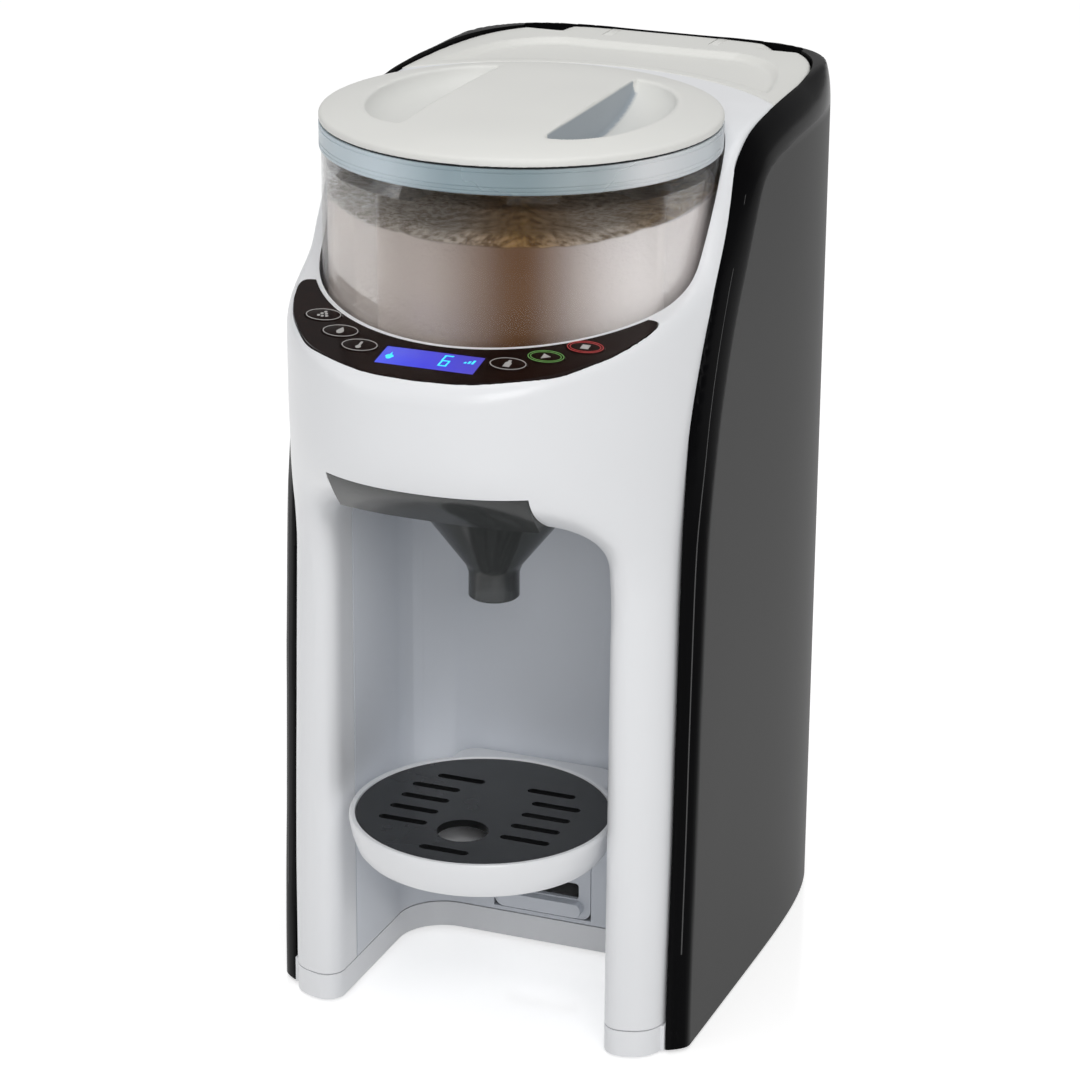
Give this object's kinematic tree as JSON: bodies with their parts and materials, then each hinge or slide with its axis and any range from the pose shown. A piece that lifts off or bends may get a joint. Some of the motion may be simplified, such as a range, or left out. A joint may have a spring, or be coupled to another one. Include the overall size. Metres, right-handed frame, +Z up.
{
  "type": "baby formula maker",
  "caption": "Countertop infant formula maker: powder container with twist lid on a sloped control head, rear water tank, funnel drawer and drip tray in an arched bottle bay.",
  "frame": {"origin": "centre of the footprint at the foot level", "axes": "+Z up, front with the bottle bay towards -Y, +X to the machine's left-hand side seen from behind, that is the viewer's right from the front"},
  "size_m": [0.1804, 0.2888, 0.3795],
  "materials": {
    "white_gloss": "glossy white moulding",
    "white_satin": "satin white moulding",
    "black_gloss": "glossy black and dark grey moulding",
    "panel_black": "mirror gloss brown-black",
    "clear_plastic": "clear moulded plastic",
    "blue_tint": "milky blue-grey translucent plastic",
    "smoke": "smoked translucent plastic",
    "matte_black": "matte black",
    "rubber": "soft rubber",
    "inner_grey": "plain grey moulding",
    "board": "green circuit board",
    "steel": "plain steel",
    "nylon": "natural nylon",
    "powder": "fine grains",
    "lcd": "lit blue display",
    "hose": "translucent silicone"
  },
  "bodies": {
    "machine": {"base_pan": "white_gloss", "foot_front_left": "rubber", "foot_front_right": "rubber", "foot_rear_left": "rubber", "foot_rear_right": "rubber", "base_screw_1": "steel", "base_screw_2": "steel", "base_screw_3": "steel", "base_screw_4": "steel", "front_casing": "white_gloss", "rear_shell": "black_gloss", "bay_liner": "white_satin", "lower_tray_socket": "white_satin", "control_panel": "panel_black", "lcd_display": "lcd", "control_board": "board", "chassis": "inner_grey", "idler_pin": "steel", "drive_motor": "steel", "tank_seat": "inner_grey", "water_pump": "matte_black", "heater_block": "steel", "pump_hose": "hose", "water_nozzle": "nylon", "power_board": "board", "power_inlet": "matte_black"},
    "button_left_outer": {"button_left_outer": "panel_black"},
    "button_left_middle": {"button_left_middle": "panel_black"},
    "button_left_inner": {"button_left_inner": "panel_black"},
    "button_right_inner": {"button_right_inner": "panel_black"},
    "button_right_middle": {"button_right_middle": "panel_black"},
    "button_right_outer": {"button_right_outer": "panel_black"},
    "drive_gear": {"drive_gear": "nylon"},
    "idler_gear": {"idler_gear": "nylon"},
    "motor_gear": {"motor_gear": "nylon"},
    "powder_container": {"powder_container": "clear_plastic", "formula_powder": "powder"},
    "dosing_wheel": {"dosing_wheel": "nylon", "stirrer": "nylon"},
    "lid_seal": {"lid_seal": "rubber"},
    "lid": {"lid": "white_satin", "lid_skirt": "blue_tint"},
    "water_tank": {"water_tank": "clear_plastic", "tank_valve": "nylon", "tank_lid_pin": "steel"},
    "tank_lid": {"tank_lid": "white_satin"},
    "funnel": {"funnel": "smoke"},
    "tray_body": {"tray_body": "white_gloss"},
    "tray_grid": {"tray_grid": "matte_black"}
  },
  "joints": [
    {"name": "button_left_outer_press", "type": "slide", "parent": "machine", "child": "button_left_outer", "axis": [0, 0.1961, -0.9806], "range_m": [0, 0.0008], "stiffness_N_per_m": 600, "springref_m": -0.001},
    {"name": "button_left_middle_press", "type": "slide", "parent": "machine", "child": "button_left_middle", "axis": [0, 0.1961, -0.9806], "range_m": [0, 0.0008], "stiffness_N_per_m": 600, "springref_m": -0.001},
    {"name": "button_left_inner_press", "type": "slide", "parent": "machine", "child": "button_left_inner", "axis": [0, 0.1961, -0.9806], "range_m": [0, 0.0008], "stiffness_N_per_m": 600, "springref_m": -0.001},
    {"name": "button_right_inner_press", "type": "slide", "parent": "machine", "child": "button_right_inner", "axis": [0, 0.1961, -0.9806], "range_m": [0, 0.0008], "stiffness_N_per_m": 600, "springref_m": -0.001},
    {"name": "button_right_middle_press", "type": "slide", "parent": "machine", "child": "button_right_middle", "axis": [0, 0.1961, -0.9806], "range_m": [0, 0.0008], "stiffness_N_per_m": 600, "springref_m": -0.001},
    {"name": "button_right_outer_press", "type": "slide", "parent": "machine", "child": "button_right_outer", "axis": [0, 0.1961, -0.9806], "range_m": [0, 0.0008], "stiffness_N_per_m": 600, "springref_m": -0.001},
    {"name": "container_lift", "type": "slide", "parent": "machine", "child": "powder_container", "axis": [0, 0, 1], "range_m": [0, 0.12]},
    {"name": "dosing_spin", "type": "hinge", "parent": "powder_container", "child": "dosing_wheel", "pos_m": [0, -0.0303, 0.288], "axis": [0, 0, 1], "continuous": true},
    {"name": "drive_gear_spin", "type": "hinge", "parent": "machine", "child": "drive_gear", "pos_m": [0, -0.0303, 0.269], "axis": [0, 0, 1], "continuous": true},
    {"name": "idler_gear_spin", "type": "hinge", "parent": "machine", "child": "idler_gear", "pos_m": [0, -0.0063, 0.269], "axis": [0, 0, 1], "continuous": true},
    {"name": "motor_gear_spin", "type": "hinge", "parent": "machine", "child": "motor_gear", "pos_m": [0, 0.0177, 0.269], "axis": [0, 0, 1], "continuous": true},
    {"name": "lid_lift", "type": "slide", "parent": "powder_container", "child": "lid_seal", "axis": [0, 0, 1], "range_m": [0, 0.06]},
    {"name": "lid_turn", "type": "hinge", "parent": "lid_seal", "child": "lid", "pos_m": [0, -0.0303, 0.37], "axis": [0, 0, 1], "range_deg": [-9, 0]},
    {"name": "tank_lift", "type": "slide", "parent": "machine", "child": "water_tank", "axis": [0, 0, 1], "range_m": [0, 0.26]},
    {"name": "tank_lid_hinge", "type": "hinge", "parent": "water_tank", "child": "tank_lid", "pos_m": [0, 0.1352, 0.3663], "axis": [-1, 0, 0], "range_deg": [0, 95]},
    {"name": "funnel_slide", "type": "slide", "parent": "machine", "child": "funnel", "axis": [0, -1, 0], "range_m": [0, 0.12]},
    {"name": "tray_slide", "type": "slide", "parent": "machine", "child": "tray_body", "axis": [0, -1, 0], "range_m": [0, 0.09]},
    {"name": "grid_lift", "type": "slide", "parent": "tray_body", "child": "tray_grid", "axis": [0, 0, 1], "range_m": [0, 0.03]}
  ],
  "couplings": [
    {"joint": "drive_gear_spin", "follows": "dosing_spin", "ratio": 1},
    {"joint": "idler_gear_spin", "follows": "dosing_spin", "ratio": -1},
    {"joint": "motor_gear_spin", "follows": "dosing_spin", "ratio": 1}
  ]
}
